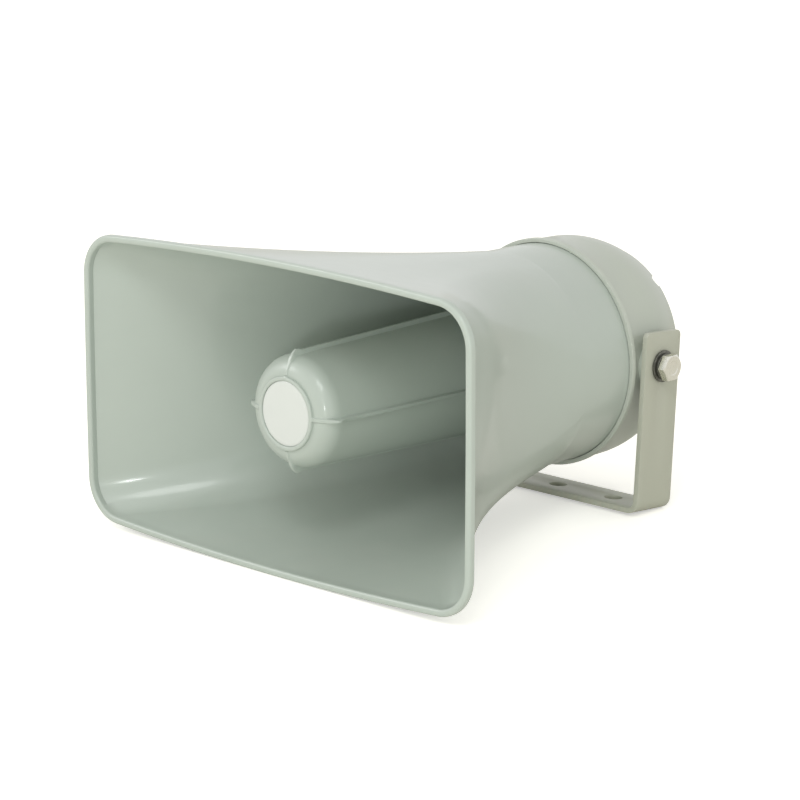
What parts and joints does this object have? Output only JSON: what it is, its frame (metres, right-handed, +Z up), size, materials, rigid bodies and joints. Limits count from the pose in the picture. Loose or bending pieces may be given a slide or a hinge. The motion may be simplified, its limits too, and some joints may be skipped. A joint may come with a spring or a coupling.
{
  "type": "pa horn speaker",
  "caption": "Weatherproof public-address horn speaker: rectangular flared bell, ribbed reflex horn on its axis, round driver cover and a U bracket that lets the horn tilt.",
  "frame": {"origin": "on the floor, halfway between the mouth's front edge and the end of the cable gland, under the horn's axis", "axes": "+X to the right across the mouth, +Y from the mouth to the rear along the horn's axis, +Z up"},
  "size_m": [0.285, 0.277, 0.167],
  "materials": {
    "horn_plastic": "smooth moulded grey plastic with a soft sheen",
    "cover_plastic": "smooth moulded grey plastic with a soft sheen",
    "bracket_paint": "grey powder coat",
    "badge": "plain white disc",
    "tube_plastic": "moulded grey plastic",
    "bolt_steel": "bright zinc plate",
    "washer_dark": "blackened steel",
    "rubber_black": "black rubber",
    "brass": "turned brass",
    "gland_plastic": "black nylon",
    "driver_plastic": "black moulded plastic",
    "driver_steel": "zinc plated steel",
    "ferrite": "dark sintered ferrite",
    "film": "thin amber film",
    "copper": "enamelled copper winding",
    "screw_steel": "zinc plated steel"
  },
  "bodies": {
    "bracket": {"bracket": "bracket_paint"},
    "horn": {"horn_bell": "horn_plastic", "reflex_horn": "horn_plastic", "nose_badge": "badge", "throat_tube": "tube_plastic", "nose_screw": "screw_steel", "driver_housing": "driver_plastic", "phase_plug": "driver_plastic", "diaphragm_ring": "driver_plastic", "driver_magnet": "ferrite", "driver_yoke": "driver_steel", "driver_top_plate": "driver_steel", "top_plate_screws": "screw_steel", "rear_cover": "cover_plastic", "cover_seal": "rubber_black", "cover_screws": "screw_steel", "gland_body": "gland_plastic", "gland_seal": "rubber_black", "gland_nut": "gland_plastic", "gland_locknut": "gland_plastic", "terminal_block": "driver_plastic", "pivot_insert_left": "brass", "friction_washer_left": "rubber_black", "flat_washer_left": "washer_dark", "lock_washer_left": "washer_dark", "pivot_bolt_left": "bolt_steel", "pivot_insert_right": "brass", "friction_washer_right": "rubber_black", "flat_washer_right": "washer_dark", "lock_washer_right": "washer_dark", "pivot_bolt_right": "bolt_steel"},
    "diaphragm": {"diaphragm": "film", "voice_coil": "copper"}
  },
  "joints": [
    {"name": "horn_tilt", "type": "hinge", "parent": "bracket", "child": "horn", "pos_m": [0, 0.0965, 0.0835], "axis": [1, 0, 0], "range_deg": [-200, 20]},
    {"name": "diaphragm_travel", "type": "slide", "parent": "horn", "child": "diaphragm", "axis": [0, 1, 0], "range_m": [-0.0004, 0.0004], "stiffness_N_per_m": 1200}
  ]
}
